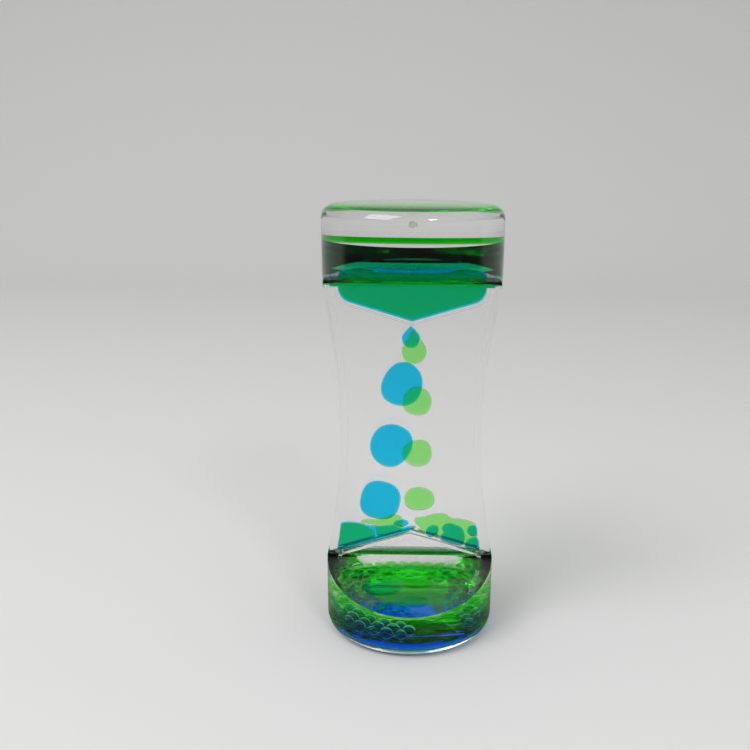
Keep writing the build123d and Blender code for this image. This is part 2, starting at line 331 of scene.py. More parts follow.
# %% [markdown]
# ## Finishes
# All finishes are glass-like: full transmission, almost no roughness, and the index of refraction
# of the inside against the outside. The sealant alone is cloudy. Colour comes from a volume that
# absorbs light, as dye does, so that a thin drop is bright and a deep pool is dark. The dyes were
# changed until a rendered drop had about the colour of the photographed one. The cell prints how
# much red, green and blue light a drop lets through: e to the power of minus density, times
# thickness, times what the colour lacks of 1. The oil's index was chosen by how the render looked.
#
# The index of refraction, the absorption's colour and its density are the same all over a surface,
# so they sit on the shader's own sockets.

# %% Clear plastic, oil and dyed liquid
PLASTIC = 1.49
OIL = 1.42
DYED = 1.34
BOND_LINE = 1.02
SEALANT = 1.08
SEALANT_ROUGHNESS = 0.3
SEALANT_TINT = (0.93, 0.92, 0.78)
BLUE_DYE = ((0.0, 0.893, 0.997), 1750)
GREEN_DYE = ((0.38, 0.962, 0.2), 740)
DROP_THICKNESS = 2.2 * mm


def shader_of(material):
    """The Principled shader of a material."""
    return material.node_tree.nodes["Principled BSDF"]


def glassy(name, index, roughness=0.0, tint=(1, 1, 1)):
    """A material with full transmission and a plain index of refraction."""
    material = bpy.data.materials.new(name)
    material.use_nodes = True
    shader = shader_of(material)
    shader.inputs["Base Color"].default_value = (*tint, 1)
    shader.inputs["Transmission Weight"].default_value = 1
    shader.inputs["Roughness"].default_value = roughness
    shader.inputs["IOR"].default_value = index
    return material


def dyed(name, color, density):
    """Liquid in oil: the index against oil, and a volume that absorbs all but its own colour."""
    material = glassy(name, DYED / OIL)
    nodes = material.node_tree.nodes
    volume = nodes.new("ShaderNodeVolumeAbsorption")
    volume.inputs["Color"].default_value = (*color, 1)
    volume.inputs["Density"].default_value = density
    material.node_tree.links.new(
        volume.outputs["Volume"], nodes["Material Output"].inputs["Volume"]
    )
    share = np.exp(-density * (1 - np.array(color)) * DROP_THICKNESS)
    print(name, "lets through", (100 * share).round().astype(int).tolist(), "percent")
    return material


skin_finish = glassy("polished clear plastic", PLASTIC)
oil_finish = glassy("clear oil", OIL / PLASTIC)
plate_finish = glassy("clear plate in oil", PLASTIC / OIL)
bond_finish = glassy("bond line", BOND_LINE)
plug_finish = glassy("cured sealant", SEALANT, SEALANT_ROUGHNESS, SEALANT_TINT)
blue_finish = dyed("blue dyed liquid", *BLUE_DYE)
green_finish = dyed("green dyed liquid", *GREEN_DYE)

# %% [markdown]
# ## Smears on the skin
# Clear plastic that has been handled is never quite clean. A noise on Object coordinates raises the
# roughness in patches from 0 to 0.012, and a long wave of a few thousandths of a millimetre bends
# the reflections, as a moulded face does. Both are small, so that the liquids behind stay sharp.

# %% Smears and waves
SMEAR_SCALE = 60
SMEAR_DETAIL = 5
SMEAR_STARTS, SMEAR_FULL = 0.45, 0.75  # values of the noise
CLEAN, SMEARED = 0.0, 0.012  # roughness
WAVE_DEPTH = 0.003 * mm


def ramp(nodes, starts, ends, low, high):
    """A Map Range node that carries starts..ends to low..high."""
    node = nodes.new("ShaderNodeMapRange")
    names = ("From Min", "From Max", "To Min", "To Max")
    for socket, value in zip(names, (starts, ends, low, high)):
        node.inputs[socket].default_value = value
    return node


def add_smears(material):
    """Roughness from clean to smeared by one noise, and a shallow wave by one half as fine."""
    nodes = material.node_tree.nodes
    links = material.node_tree.links
    shader = shader_of(material)
    place = nodes.new("ShaderNodeTexCoord")
    noise = nodes.new("ShaderNodeTexNoise")
    noise.inputs["Scale"].default_value = SMEAR_SCALE
    noise.inputs["Detail"].default_value = SMEAR_DETAIL
    spread = ramp(nodes, SMEAR_STARTS, SMEAR_FULL, CLEAN, SMEARED)
    links.new(place.outputs["Object"], noise.inputs["Vector"])
    links.new(noise.outputs["Fac"], spread.inputs["Value"])
    links.new(spread.outputs["Result"], shader.inputs["Roughness"])
    swell = nodes.new("ShaderNodeTexNoise")
    swell.inputs["Scale"].default_value = SMEAR_SCALE / 2
    swell.inputs["Detail"].default_value = 0
    bump = nodes.new("ShaderNodeBump")
    bump.inputs["Strength"].default_value = 1
    bump.inputs["Distance"].default_value = WAVE_DEPTH
    links.new(place.outputs["Object"], swell.inputs["Vector"])
    links.new(swell.outputs["Fac"], bump.inputs["Height"])
    links.new(bump.outputs["Normal"], shader.inputs["Normal"])


add_smears(skin_finish)
print("finishes:", [material.name for material in bpy.data.materials])

# %% [markdown]
# ## The clear body
# The skin is one closed surface over the whole outline, so that it stands for both halves at once:
# bonded plastic has no border inside. Its edges are struck by a small bevel, as a mould leaves
# them, because a rounded edge is what draws the fine bright lines that tell the eye the shape of a
# clear thing.

# %% Skin
STRUCK_EDGE = 1.3 * mm
STRUCK_STEPS = 5
STRUCK_FROM = radians(38)


def finish_piece(piece, material, body, slot, *nodes):
    """Give a piece its material and its body, and hide the nodes it stands for. The slot is not
    used.
    """
    piece.data.materials.append(material)
    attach(piece, body)
    if nodes:
        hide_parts(*nodes)
    return piece


skin = loft("clear_body", whole_rings(form_levels(no_walls, 0, height), no_walls))
bevel = skin.modifiers.new("struck edges", "BEVEL")
bevel.width = STRUCK_EDGE
bevel.segments = STRUCK_STEPS
bevel.limit_method = "ANGLE"
bevel.angle_limit = STRUCK_FROM
bevel.harden_normals = True
finish_piece(skin, skin_finish, "timer", "clear_shell", "front_shell", "rear_shell")
print("skin:", len(skin.data.polygons), "faces")

# %% [markdown]
# ## Oil
# The oil fills each compartment to the walls. It has no solid in the CAD, but light turns at its
# border, so each cavity is a closed half section, drawn in by the walls and cut off at the plate.

# %% Oil in the two compartments
for name, side in (("front_oil", front), ("rear_oil", rear)):
    levels = form_levels(walls, walls["end"], height - walls["end"])
    cavity = loft(name, half_rings(levels, side, divider_half, walls))
    finish_piece(cavity, oil_finish, "timer", "clear_plate")
    print(name + ":", len(cavity.data.polygons), "faces")

# %% [markdown]
# ## The plate between the halves
# The plate is bonded to both halves, so only its bond lines show, as a hair of brightness where
# light grazes them. It is the same section as the skin, cut to a thin slice and held just inside
# every surface round it.

# %% Divider
SEAM_DEPTH = 0.12 * mm
BOND_GAP = 0.06 * mm
slim = dict.fromkeys(("drum", "end", "side"), SEAM_DEPTH)
slim["panel"] = slab_half_depth - divider_half


def divider_rings(z):
    """A rectangle at each height, as wide as the body and a little under the plate's depth."""
    depth = divider_half - BOND_GAP
    wide = np.minimum(half_width(z, slim), half_chord(drum_at(z, slim), depth))
    x = np.stack([wide, wide, -wide, -wide], axis=1)
    y = np.broadcast_to(np.array([-depth, depth, depth, -depth]), x.shape)
    return np.stack([x, y, np.broadcast_to(z[:, None], x.shape)], axis=2)


divider_levels = form_levels(no_walls, SEAM_DEPTH, height - SEAM_DEPTH)
divider = loft("divider_plate_skin", divider_rings(divider_levels))
finish_piece(divider, bond_finish, "timer", "clear_plate", "divider_plate")
print("divider:", len(divider.data.polygons), "faces")

# %% [markdown]
# ## Rounded outlines
# Moulded and bent parts have rounded corners. A rounded outline is worked out corner by corner,
# each as a quadratic curve between two points on its legs, and a prism carries it straight from
# one depth to another.

# %% Rounded outlines and prisms
LEG_SHARE = 0.48  # the most of a leg that one rounded corner may take


def rounded_outline(corners, rounding, steps):
    """Closed outline with rounded corners: at each corner p a quadratic curve

    (1 - t)^2 a + 2 t (1 - t) p + t^2 b, with a and b one rounding away along the two legs.
    """
    p = np.asarray(corners, dtype=float)
    r = np.asarray(rounding, dtype=float)[:, None]
    back = np.roll(p, 1, axis=0) - p
    ahead = np.roll(p, -1, axis=0) - p
    back_long = np.linalg.norm(back, axis=1, keepdims=True)
    ahead_long = np.linalg.norm(ahead, axis=1, keepdims=True)
    a = p + back * np.minimum(r / back_long, LEG_SHARE)
    b = p + ahead * np.minimum(r / ahead_long, LEG_SHARE)
    t = np.linspace(0, 1, steps)[None, :, None]
    curve = (1 - t) ** 2 * a[:, None] + 2 * t * (1 - t) * p[:, None] + t**2 * b[:, None]
    return curve.reshape(-1, 2)


def prism(name, outline, near, deep):
    """Closed straight piece from an outline in x and z, between two depths."""
    rings = np.stack([np.insert(outline, 1, depth, axis=1) for depth in (near, deep)])
    return loft(name, rings)


# %% [markdown]
# ## Funnels
# Each funnel is a bent strip: a line from fence to fence, thickened to both sides. A hair of oil is
# left between the strip and the two walls, because two surfaces in one place make dark specks.

# %% Funnels
FILM = 0.06 * mm
FUNNEL_CORNER_STEPS = 9
TIP_ROUND = 0.4 * mm
END_ROUND = 0.1 * mm
chamber_front = slab_half_depth - walls["panel"]
funnel_half_width = 21.8 * mm
funnel_rise = 6.5 * mm
funnel_half_wall = 0.5 * mm
upper_tip = 96.4 * mm
upper_fence = 4.2 * mm
upper_bend = 4.6 * mm
lower_tip = 30.2 * mm
lower_fence = 2.2 * mm
lower_bend = 2 * mm
funnel_slope = funnel_rise / funnel_half_width


def funnel_outline(tip, way, fence, bend):
    """Outline of a bent strip: out along one side of its middle line and back along the other."""
    end = tip + way * (funnel_rise + fence)
    lift = np.array([funnel_half_wall, -funnel_half_wall])
    wide = funnel_half_width - lift
    middle = tip + way * lift * hypot(1, funnel_slope)
    corner = middle + way * wide * funnel_slope
    right = [(wide[0], corner[0]), (wide[0], end), (wide[1], end), (wide[1], corner[1])]
    left = [(-wide[1], corner[1]), (-wide[1], end), (-wide[0], end), (-wide[0], corner[0])]
    corners = [left[2], left[3], (0, middle[0]), *right, (0, middle[1]), *left[:2]]
    inner = [END_ROUND, bend, TIP_ROUND, bend, END_ROUND]
    outer = [END_ROUND, bend + lift[0], TIP_ROUND, bend + lift[0], END_ROUND]
    return rounded_outline(corners, inner + outer, FUNNEL_CORNER_STEPS)


upper_line = funnel_outline(upper_tip, 1, upper_fence, upper_bend)
lower_line = funnel_outline(lower_tip, -1, lower_fence, lower_bend)
for place, side in (("front", front), ("rear", rear)):
    for part, outline in (("upper", upper_line), ("lower", lower_line)):
        near, deep = side * (divider_half + FILM), side * (chamber_front - FILM)
        strip = prism(part + "_" + place + "_strip", outline, near, deep)
        node = part + "_" + place + "_funnel"
        finish_piece(strip, plate_finish, "timer", "clear_plate", node)
        print(node + ":", len(strip.data.polygons), "faces")

# %% [markdown]
# ## Fill plugs
# Each compartment was filled through a hole in the top face and closed with a drop of sealant that
# cured slightly yellow and cloudy. A body of revolution with a domed foot says that well: its
# radius is a function of the distance along its axis. It is drawn in at the top, to stay under the
# face.

# %% Plugs
DOME_STARTS = 0.05  # radians from the foot, which leaves a small flat
DOME_STEPS = 12
PLUG_SHOULDER = 0.5 * mm
PLUG_TOP = 0.3 * mm
PLUG_TOP_SHARE = 0.7


def revolved(name, center, radii, heights, steps=32):
    """Surface of revolution round an upright axis at center: radii as a function of heights."""
    angle = np.linspace(0, 2 * pi, steps, endpoint=False)
    x = center[0] + radii[:, None] * np.cos(angle)
    y = center[1] + radii[:, None] * np.sin(angle)
    z = np.broadcast_to(heights[:, None], x.shape)
    return loft(name, np.stack([x, y, z], axis=2))


def box_of(node):
    """Lowest and highest corner of a CAD node, as arrays."""
    return [np.array(corner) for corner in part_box(node)]


for name in ("front_fill_plug", "rear_fill_plug"):
    low, high = box_of(name)
    bore = (high[0] - low[0]) / 2
    dome = np.linspace(DOME_STARTS, pi / 2, DOME_STEPS)
    dome_heights = low[2] + bore - bore * np.cos(dome)
    heights = np.concatenate([dome_heights, [high[2] - PLUG_SHOULDER, high[2] - PLUG_TOP]])
    radii = np.concatenate([bore * np.sin(dome), [bore, PLUG_TOP_SHARE * bore]])
    plug = revolved(name + "_seal", (low + high) / 2, radii, heights)
    finish_piece(plug, plug_finish, "timer", "plug", name)
    print(name, "radius:", round(bore / mm, 2), "mm")

# %% [markdown]
# ## Liquid in the drums
# The reservoirs are half sections like the oil, a hair smaller, cut off at their level and closed
# below by the funnel's valley. The valley is a limit on the half width that grows with the height:
# a slope from the tip, a round, and then the upright fence. Above the fence there is no limit.

# %% The valley in the upper funnel
GAP = 0.1 * mm
VALLEY_BEND = 4.3 * mm
valley_lift = funnel_half_wall + GAP
valley_half_width = funnel_half_width - valley_lift
valley_tip = upper_tip + valley_lift * hypot(1, funnel_slope)
fence_top = upper_tip + funnel_rise + upper_fence + GAP


def valley_width(z):
    """Half width inside the upper funnel: slope, then a tangent circle, then straight."""
    straight = valley_half_width - VALLEY_BEND
    center = valley_tip + funnel_slope * straight + VALLEY_BEND * hypot(1, funnel_slope)
    touch = center - VALLEY_BEND * np.cos(atan(funnel_slope))
    on_slope = (z - valley_tip) / funnel_slope
    on_round = straight + half_chord(VALLEY_BEND, center - z)
    width = np.where(z < touch, on_slope, np.where(z < center, on_round, valley_half_width))
    return np.where(z > fence_top, far, width)


print("valley tip at", round(valley_tip / mm, 2), "mm")

# %% [markdown]
# The liquid's own heights are closest in the valley's round. The puddles need no valley: each is
# the floor of its drum half, filled to a level that is read from its node.

# %% Reservoirs and puddles
TIP_CUT = 0.02 * mm
OVER_FENCE = 0.01 * mm
ROUND_DEPTH = 3 * mm  # below the end of the slope, where the closer heights begin
SLOPE_STEPS = 20
ROUND_STEPS = 30
liquid_walls = {key: wall + GAP for key, wall in walls.items()}
liquid_inner = divider_half + GAP


def reservoir(name, side, material, slot, node):
    """The liquid above one funnel, from the valley's tip up to the level of its node."""
    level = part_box(node)[1][2]
    lowest = valley_tip + TIP_CUT
    corner = valley_tip + funnel_rise - ROUND_DEPTH
    slope_levels = np.linspace(lowest, corner, SLOPE_STEPS)
    round_levels = np.linspace(corner, fence_top, ROUND_STEPS)
    drum_levels = form_levels(liquid_walls, lowest, level)
    all_levels = [slope_levels, round_levels, [fence_top + OVER_FENCE], drum_levels]
    levels = np.unique(np.concatenate(all_levels))
    rings = half_rings(levels, side, liquid_inner, liquid_walls, valley_width(levels))
    return finish_piece(loft(name, rings), material, "timer", slot, node)


def puddle(name, side, material, slot, node):
    """The liquid on the floor of one drum half, up to the level of its node."""
    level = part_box(node)[1][2]
    levels = form_levels(liquid_walls, liquid_walls["end"], level)
    rings = half_rings(levels, side, liquid_inner, liquid_walls)
    return finish_piece(loft(name, rings), material, "timer", slot, node)


reservoir("blue_reservoir_liquid", front, blue_finish, "blue_liquid", "blue_reservoir")
reservoir("green_reservoir_liquid", rear, green_finish, "green_liquid", "green_reservoir")
puddle("blue_puddle_liquid", front, blue_finish, "blue_liquid", "blue_puddle")
puddle("green_puddle_liquid", rear, green_finish, "green_liquid", "green_puddle")

# %% [markdown]
# ## Drops
# A drop is squeezed between two flat walls, so it is a disc with a round edge. Its outline is a
# closed curve, and its edge is a half round that draws the outline in as it nears each wall. In a
# tight bend an edge that is as wide as elsewhere would fold over itself and render black, so there
# it is made smaller, and the change is spread along the outline.

# %% Discs of liquid
EDGE_STEPS = 13
BEND_SHARE = 0.7
EDGE_PASSES = 8
EDGE_CHANGE = 0.02 * mm
STRAIGHT_ENOUGH = 1e-14
SHORTEST_STEP = 1e-9


def disc_mesh(name, outline, middle, thickness, edge):
    """Closed disc: the outline moved inwards by edge (1 - sin t), at depth - half thickness cos t.

    In a bend the edge is at most a share of the bend's radius, its arc's length over its turn.
    """
    ahead = np.roll(outline, -1, axis=0) - np.roll(outline, 1, axis=0)
    ahead = ahead / np.maximum(np.linalg.norm(ahead, axis=1, keepdims=True), SHORTEST_STEP)
    x, z = outline[:, 0], outline[:, 1]
    way_round = np.sign(np.sum(x * np.roll(z, -1) - z * np.roll(x, -1)))
    inward = np.stack([-ahead[:, 1], ahead[:, 0]], axis=1) * way_round
    there = np.roll(outline, -1, axis=0) - outline
    here = np.roll(there, 1, axis=0)
    turn = (here[:, 0] * there[:, 1] - here[:, 1] * there[:, 0]) * way_round
    arc = (np.linalg.norm(here, axis=1) + np.linalg.norm(there, axis=1)) / 2
    bend_radius = arc**3 / np.maximum(turn, STRAIGHT_ENOUGH)
    edge = np.minimum(edge, BEND_SHARE * bend_radius)
    for _ in range(EDGE_PASSES):
        beside = (np.roll(edge, 1) + np.roll(edge, -1)) / 2
        edge = np.minimum(edge, beside + EDGE_CHANGE)
    edge = edge[None, :, None]
    t = np.linspace(0, pi, EDGE_STEPS)[:, None, None]
    flat = outline[None] + inward[None] * edge * (1 - np.sin(t))
    depth = np.broadcast_to(middle - thickness / 2 * np.cos(t), flat[..., :1].shape)
    return loft(name, np.concatenate([flat[..., :1], depth, flat[..., 1:]], axis=2))


# %% [markdown]
# A falling drop is an ellipse, a little square, leaning and unround, because the oil and its
# neighbours push it about. The drop that still hangs at the tip is a teardrop: a round belly and
# straight flanks to a small round nib.

# %% Outlines of drops
TEAR_TIP = 0.6 * mm
WAVE_START = 0.6  # radians, where the wave of three begins


def drop_outline(center, width, length, tilt, bulge, power, steps=72):
    """Slightly square ellipse, turned by a tilt and made unround by a wave of three."""
    a = np.linspace(0, 2 * pi, steps, endpoint=False)
    x = width / 2 * np.sign(np.cos(a)) * np.abs(np.cos(a)) ** power
    z = length / 2 * np.sign(np.sin(a)) * np.abs(np.sin(a)) ** power
    wave = 1 + bulge * np.cos(3 * a + WAVE_START)
    turned_x = x * wave * np.cos(tilt) - z * wave * np.sin(tilt)
    turned_z = x * wave * np.sin(tilt) + z * wave * np.cos(tilt)
    return np.stack([center[0] + turned_x, center[1] + turned_z], axis=1)


def teardrop_outline(center, width, length, steps=72):
    """Teardrop with its tip up: a circle's arc below, and two straight flanks to a small nib.

    The lean is the angle at which a flank touches both circles: its sine is the difference of
    their radii over the distance of their centres.
    """
    belly = width / 2
    gap = length - belly - TEAR_TIP
    lean = np.arcsin((belly - TEAR_TIP) / gap)
    low = np.linspace(lean, -pi - lean, steps)
    high = np.linspace(pi - lean, lean, steps // 4)
    bottom = center[1] - length / 2 + belly
    x = np.concatenate([belly * np.cos(low), TEAR_TIP * np.cos(high)])
    z = np.concatenate([bottom + belly * np.sin(low), bottom + gap + TEAR_TIP * np.sin(high)])
    return np.stack([center[0] + x, z], axis=1)


# %% [markdown]
# Place and size of each drop come from its node. The lean, the unroundness and the squareness of
# the falling ones are given in the table: a smaller power gives squarer corners.

# %% Drops that hang and fall
TEAR_EDGE = 0.5 * mm
DROP_EDGE = 0.9 * mm
NECK_GAP = 0.15 * mm
NECK_REACH = 1 * mm
drop_shapes = {  # lean in degrees, unroundness, power; None for a teardrop
    "blue_drop_1": None,
    "blue_drop_2": (-24, 0.03, 0.92),
    "blue_drop_3": (-28, -0.02, 0.92),
    "blue_drop_4": (-12, 0.01, 0.8),
    "green_drop_1": None,
    "green_drop_2": (-25, 0.03, 0.92),
    "green_drop_3": (12, -0.03, 0.92),
    "green_drop_4": (0, 0.02, 0.92),
}
chamber_middle = (divider_half + chamber_front) / 2
funnel_underside = upper_tip - funnel_half_wall * hypot(1, funnel_slope)

for node, shape in drop_shapes.items():
    low, high = box_of(node)
    color = node.split("_")[0]
    side, finish = (front, blue_finish) if color == "blue" else (rear, green_finish)
    width, length = high[0] - low[0], high[2] - low[2]
    if shape is None:
        top = min(funnel_underside - NECK_GAP, high[2] + NECK_REACH)
        center = ((low[0] + high[0]) / 2, (low[2] + top) / 2)
        outline = teardrop_outline(center, width, top - low[2])
        edge = TEAR_EDGE
    else:
        tilt, bulge, power = shape
        center = ((low[0] + high[0]) / 2, (low[2] + high[2]) / 2)
        outline = drop_outline(center, width, length, radians(tilt), bulge, power)
        edge = DROP_EDGE
    drop = disc_mesh(node + "_liquid", outline, side * chamber_middle, DROP_THICKNESS, edge)
    finish_piece(drop, finish, node + "_body", color + "_liquid", node)
    print(node + ":", round(width / mm, 1), "by", round(length / mm, 1), "mm")

# %% [markdown]
# The last drop of each train joins the pool when it arrives. A solid can't join another. Here each
# of these drops only gets a mesh of its own, and the height of a film on the pool, at about the
# height where the next drop's underside stops, is listed and printed. The film's height is given as
# it is at the end of the fall.

# %% Landing drops
film_heights = {"blue": 34.3 * mm, "green": 36.4 * mm}
for color, film_height in film_heights.items():
    landing = bpy.data.objects[color + "_drop_4_liquid"]
    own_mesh(landing)
    print(landing.name, "lies down at", round(film_height / mm, 1), "mm")

# %% [markdown]
# ## Pools and beads on the roofs
# Drops that have landed lie on the sloping roof, press against each other and join by and by. Such
# shapes have no formula, so each outline is a few listed points, in millimetres from the middle of
# the base, with a smooth closed curve through them. The lower edge of each one lies along the roof,
# and at the side wall the liquid already slips down the gap.

# %% Smooth outlines and joined pieces
POOL_EDGE = 0.3 * mm


def smooth_outline(points, steps=6):
    """Closed curve through points a, b, c, d by the Catmull-Rom formula, in metres:

    half of (2b + (c - a) t + (2a - 5b + 4c - d) t^2 + (3b - 3c + d - a) t^3), from b to c.
    """
    b = np.asarray(points, dtype=float) * mm
    a, c, d = (np.roll(b, shift, axis=0)[:, None] for shift in (1, -1, -2))
    b = b[:, None]
    t = np.linspace(0, 1, steps, endpoint=False)[None, :, None]
    squared = (2 * a - 5 * b + 4 * c - d) * t**2
    cubed = (3 * b - 3 * c + d - a) * t**3
    return ((2 * b + (c - a) * t + squared + cubed) / 2).reshape(-1, 2)


def join_meshes(name, objects):
    """One object that holds the meshes of several."""
    work = bmesh.new()
    for piece in objects:
        work.from_mesh(piece.data)
        bpy.data.objects.remove(piece)
    mesh = bpy.data.meshes.new(name)
    work.to_mesh(mesh)
    work.free()
    return add_object(name, mesh)


def flat_liquids(name, outlines, side):
    """One mesh of several flat bodies of liquid in one chamber."""
    middle = side * chamber_middle
    pieces = [
        disc_mesh(name, smooth_outline(points), middle, DROP_THICKNESS, POOL_EDGE)
        for points in outlines
    ]
    return join_meshes(name, pieces)


# %% [markdown]
# On the left roof the blue liquid has already run together into one long pool, with a single drop
# that has just landed near the ridge.

# %% Blue pool
blue_left_pool = (
    (-21.2, 33.9), (-18.5, 34.1), (-16, 33.9), (-13.5, 33.2), (-10.9, 32.9), (-8, 33),
    (-5.2, 33.2), (-2.6, 32.3), (-0.4, 32.9), (1.7, 32.8), (0.9, 31.9), (-1.6, 30.6),
    (-4.4, 29.7), (-10.5, 27.9), (-16, 26.3), (-19.6, 25.3), (-21.6, 24.9), (-22.4, 25),
    (-22.5, 26), (-22, 29), (-21.6, 32),
)
blue_roof_drop = (
    (-5.2, 33.7), (-4.2, 34.7), (-2.4, 35.2), (-0.7, 34.5), (-0.5, 33.6), (-2.4, 32.7), (-4, 33),
)
blue_pool = flat_liquids("blue_roof_pool_liquid", (blue_left_pool, blue_roof_drop), front)
finish_piece(blue_pool, blue_finish, "timer", "blue_liquid", "blue_roof_pool")
print("blue pool:", len(blue_pool.data.polygons), "faces")

# %% [markdown]
# On the right roof the blue liquid is still in loose beads, which lie close together but haven't
# joined.

# %% Blue beads
blue_round_bead = (
    (4.7, 30.9), (5.6, 32.6), (7.4, 33.3), (8.8, 32.7), (8.9, 31.2), (7.8, 29.7), (6, 29.4),
)
blue_wide_bead = (
    (10, 32.8), (11.2, 33.9), (12.9, 34), (14.6, 33.4), (16.3, 32.4), (17.2, 30), (16.9, 27.9),
    (16, 26.6), (14.2, 26.9), (11.4, 27.7), (9.6, 28.5), (9.4, 29.8), (10.4, 31), (9.9, 31.9),
)
blue_wall_bead = (
    (17.8, 32.5), (19.2, 33.5), (20.6, 33.2), (20.9, 31.4), (20.7, 30), (19.2, 29.9), (17.9, 31),
)
blue_low_bead = (
    (17.1, 27.3), (18, 28.6), (19.4, 29.3), (21, 29.3), (21.7, 27), (21.6, 25.2), (19.6, 25.3),
    (17.3, 26),
)
bead_outlines = (blue_round_bead, blue_wide_bead, blue_wall_bead, blue_low_bead)
beads = flat_liquids("blue_roof_beads_liquid", bead_outlines, front)
finish_piece(beads, blue_finish, "timer", "blue_liquid", "blue_roof_beads")
print("blue beads:", len(bead_outlines))

# %% [markdown]
# The green liquid lies behind, in three pools. Where blue and green overlap, the two dyes leave
# little but green light, and that comes by itself from the two volumes.

# %% Green pools
green_left_pool = (
    (-21.1, 32.8), (-17.5, 33.1), (-14.3, 32.4), (-12.8, 31), (-11.3, 29.8), (-11.3, 28.2),
    (-16.1, 26.5), (-19.6, 25.4), (-21.6, 24.9), (-22.4, 25), (-22.5, 26), (-22, 29.5),
)
green_middle_pool = (
    (-15.2, 33.5), (-13.4, 34), (-10.6, 33.9), (-8.2, 34.4), (-6.3, 35.3), (-4.3, 35.6),
    (-2.8, 34.9), (-2.2, 33.5), (-2.3, 31), (-4.6, 29.8), (-9, 28.6), (-10.5, 29.2),
    (-10.7, 31), (-11.4, 32.2), (-13.4, 32.7), (-15, 32.8),
)
green_right_pool = (
    (1.3, 34.3), (3, 34.8), (5.2, 35.3), (8, 36.1), (11, 36), (13, 34.7), (15.8, 34.4),
    (19.2, 33.5), (20.8, 32.2), (21.3, 28.5), (21.6, 25.2), (19, 25.4), (14, 27), (9.1, 28.5),
    (4.4, 29.9), (2.4, 30.6), (3.2, 31.6), (2, 32.5),
)
green_outlines = (green_left_pool, green_middle_pool, green_right_pool)
green_pool = flat_liquids("green_roof_pool_liquid", green_outlines, rear)
finish_piece(green_pool, green_finish, "timer", "green_liquid", "green_roof_pool")
print("green pools:", len(green_outlines))

# %% [markdown]
# ## Round drops and bubbles
# Below the roofs there is room, so the drops are round again. Dozens of them lie in rows on the two
# puddles. One small grid sphere is worked out once and placed many times by adding whole arrays.

# %% Spheres
POLE = 0.001  # radians from each pole to the first ring
SPHERE_CREASE = radians(80)


def spheres(name, centers, radii, rows, columns):
    """Many closed spheres in one mesh: p = center + r (sin u cos v, sin u sin v, cos u)."""
    u = np.linspace(POLE, pi - POLE, rows)[:, None]
    v = np.linspace(0, 2 * pi, columns, endpoint=False)[None, :]
    grid = [np.sin(u) * np.cos(v), np.sin(u) * np.sin(v), np.cos(u) + 0 * v]
    unit = np.stack(grid, axis=2).reshape(-1, 3)
    points = np.asarray(centers)[:, None, :] + np.asarray(radii)[:, None, None] * unit[None]
    faces = []
    for number in range(len(points)):
        faces += ring_faces(rows, columns, number * rows * columns)
    return mesh_object(name, points, faces, SPHERE_CREASE)


# %% [markdown]
# The rows follow the drum's wall. The blue ones leave part of the arc free, because the photograph
# shows a bare stretch there.

# %% Rows of bubbles
BUBBLE_GAP = 0.15 * mm


def bubble_rows(side, rows, level, radius, spans):
    """Centres on arcs from the drum's wall inwards, evenly spaced, kept where their share of the
    arc from the right to the left lies in one of the spans."""
    pitch = 2 * radius + BUBBLE_GAP
    nearest = divider_half + radius + BUBBLE_GAP
    centers = []
    for row in range(rows):
        r = drum_radius - walls["drum"] - radius - BUBBLE_GAP - row * pitch
        start = np.arcsin(nearest / r)
        count = int((pi - 2 * start) * r / pitch) + 1
        share = np.linspace(0, 1, count)
        share = share[np.any([(low <= share) & (share <= high) for low, high in spans], axis=0)]
        angle = start + (pi - 2 * start) * share
        x, y = r * np.cos(angle), side * r * np.sin(angle)
        centers.append(np.stack([x, y, np.full(len(angle), level)], axis=1))
    return np.concatenate(centers)


# %% [markdown]
# The node's box gives the bubbles' level and the largest size. Each bubble is then made smaller by
# chance, by up to a third, because even drops would look like beads on a string.

# %% Bubbles on the puddles
SMALLEST_BUBBLE = 0.68
BUBBLE_GRID = (15, 24)
bubble_chance = np.random.default_rng(7)
bubble_layers = (
    ("blue", front, blue_finish, 3, ((0.0, 0.22), (0.5, 1.0))),
    ("green", rear, green_finish, 4, ((0.0, 1.0),)),
)
for color, side, finish, rows, spans in bubble_layers:
    low, high = box_of(color + "_bubbles")
    largest = (high[2] - low[2]) / 2
    centers = bubble_rows(side, rows, (low[2] + high[2]) / 2, largest, spans)
    sizes = largest * bubble_chance.uniform(SMALLEST_BUBBLE, 1.0, len(centers))
    heap = spheres(color + "_bubbles_liquid", centers, sizes, *BUBBLE_GRID)
    finish_piece(heap, finish, "timer", color + "_liquid", color + "_bubbles")
    print(color, "bubbles:", len(centers))

# %% [markdown]
# ## Drops in the side gaps
# A narrow gap beside each lower funnel lets the liquid down into the drum, one small drop after
# another. They hang in a chain from the top of the node's box to its bottom, the blue ones at the
# left side only and the green ones at both.

# %% Chains of drops
SLOT_GRID = (13, 20)
SPACES_SHARE = 0.1  # taken off the box's length in drops, for the spaces between them
slot_chains = (("blue", front, blue_finish, (-1,)), ("green", rear, green_finish, (-1, 1)))
for color, side, finish, ways in slot_chains:
    low, high = box_of(color + "_slot_drops")
    depth = (low[1] + high[1]) / 2
    radius = (high[1] - low[1]) / 2
    out = -low[0] - radius
    count = round((high[2] - low[2]) / (2 * radius) - SPACES_SHARE)
    heights = np.linspace(high[2] - radius, low[2] + radius, count)
    places = [(way * out, depth, z) for way in ways for z in heights]
    chain = spheres(color + "_slot_drops_liquid", places, [radius] * len(places), *SLOT_GRID)
    finish_piece(chain, finish, "timer", color + "_liquid", color + "_slot_drops")
    print(color, "slot drops:", len(places))

# %% [markdown]
# ## Floor and backdrop
# The timer stands on a plain pale sheet that turns up behind it, as in a studio, so that there is
# no line where floor and wall meet. It lies a hair below the base, because two surfaces in one
# place make dark specks.

# %% Swept sheet
FLOOR_GAP = 0.1 * mm
SWEEP_STEPS = 24


